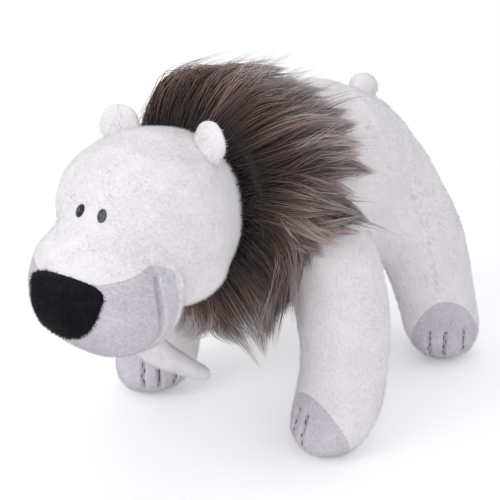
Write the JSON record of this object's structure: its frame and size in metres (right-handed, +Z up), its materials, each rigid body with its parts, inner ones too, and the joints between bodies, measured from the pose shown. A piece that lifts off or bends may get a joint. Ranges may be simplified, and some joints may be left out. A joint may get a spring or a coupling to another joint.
{
  "type": "plush polar bear",
  "caption": "Standing plush polar bear with a long fur mane, grey muzzle and paws, black nose, bead eyes, soft ears, stub tail and chin beard.",
  "frame": {"origin": "on the floor, under the middle of the bear's length and width", "axes": "-Y is forward, towards the nose; +X is the bear's left; +Z is up"},
  "size_m": [0.2004, 0.3523, 0.2353],
  "materials": {
    "white_plush": "short white plush pile, faintly cool",
    "grey_plush": "short lilac-grey plush pile",
    "pale_grey_plush": "short pale grey plush pile",
    "black_plush": "short black plush pile",
    "mane_fur": "long taupe-brown fur with lighter tips",
    "wadding": "polyester wadding",
    "eye_gloss": "glossy black",
    "washer_plastic": "plain white plastic"
  },
  "bodies": {
    "torso": {"torso_skin": "white_plush", "torso_filling": "wadding", "mane": "mane_fur", "front_leg_skin_left": "white_plush", "front_paw_cap_left": "grey_plush", "front_leg_filling_left": "wadding", "hind_leg_skin_left": "white_plush", "hind_paw_cap_left": "grey_plush", "hind_leg_filling_left": "wadding", "front_leg_skin_right": "white_plush", "front_paw_cap_right": "grey_plush", "front_leg_filling_right": "wadding", "hind_leg_skin_right": "white_plush", "hind_paw_cap_right": "grey_plush", "hind_leg_filling_right": "wadding"},
    "neck": {"neck_filling": "wadding"},
    "head": {"head_skin": "white_plush", "muzzle_panel": "grey_plush", "jaw_panel": "pale_grey_plush", "nose_patch": "black_plush", "head_filling": "wadding", "eye_left": "eye_gloss", "eye_right": "eye_gloss", "eye_washer_left": "washer_plastic", "eye_washer_right": "washer_plastic"},
    "ear_left": {"ear_left": "white_plush"},
    "ear_right": {"ear_right": "white_plush"},
    "tail": {"tail": "white_plush"},
    "chin_beard": {"chin_beard": "white_plush"}
  },
  "joints": [
    {"name": "neck_turn", "type": "hinge", "parent": "torso", "child": "neck", "pos_m": [0, -0.0775, 0.159], "axis": [0, 0, 1], "range_deg": [-12, 12], "stiffness_Nm_per_rad": 1},
    {"name": "neck_nod", "type": "hinge", "parent": "neck", "child": "head", "pos_m": [0, -0.0775, 0.159], "axis": [1, 0, 0], "range_deg": [-8, 10], "stiffness_Nm_per_rad": 1.5},
    {"name": "ear_left_fold", "type": "hinge", "parent": "head", "child": "ear_left", "pos_m": [0.0265, -0.0835, 0.19599], "axis": [-0.9135, 0, 0.4067], "range_deg": [-20, 20], "stiffness_Nm_per_rad": 0.02},
    {"name": "ear_right_fold", "type": "hinge", "parent": "head", "child": "ear_right", "pos_m": [-0.0265, -0.0835, 0.19599], "axis": [-0.9135, 0, -0.4067], "range_deg": [-20, 20], "stiffness_Nm_per_rad": 0.02},
    {"name": "tail_wag", "type": "hinge", "parent": "torso", "child": "tail", "pos_m": [0, 0.14122, 0.18029], "axis": [0, -0.8266, 0.5627], "range_deg": [-15, 15], "stiffness_Nm_per_rad": 0.02},
    {"name": "beard_swing", "type": "hinge", "parent": "head", "child": "chin_beard", "pos_m": [0, -0.1175, 0.10507], "axis": [1, 0, 0], "range_deg": [-12, 12], "stiffness_Nm_per_rad": 0.03}
  ]
}
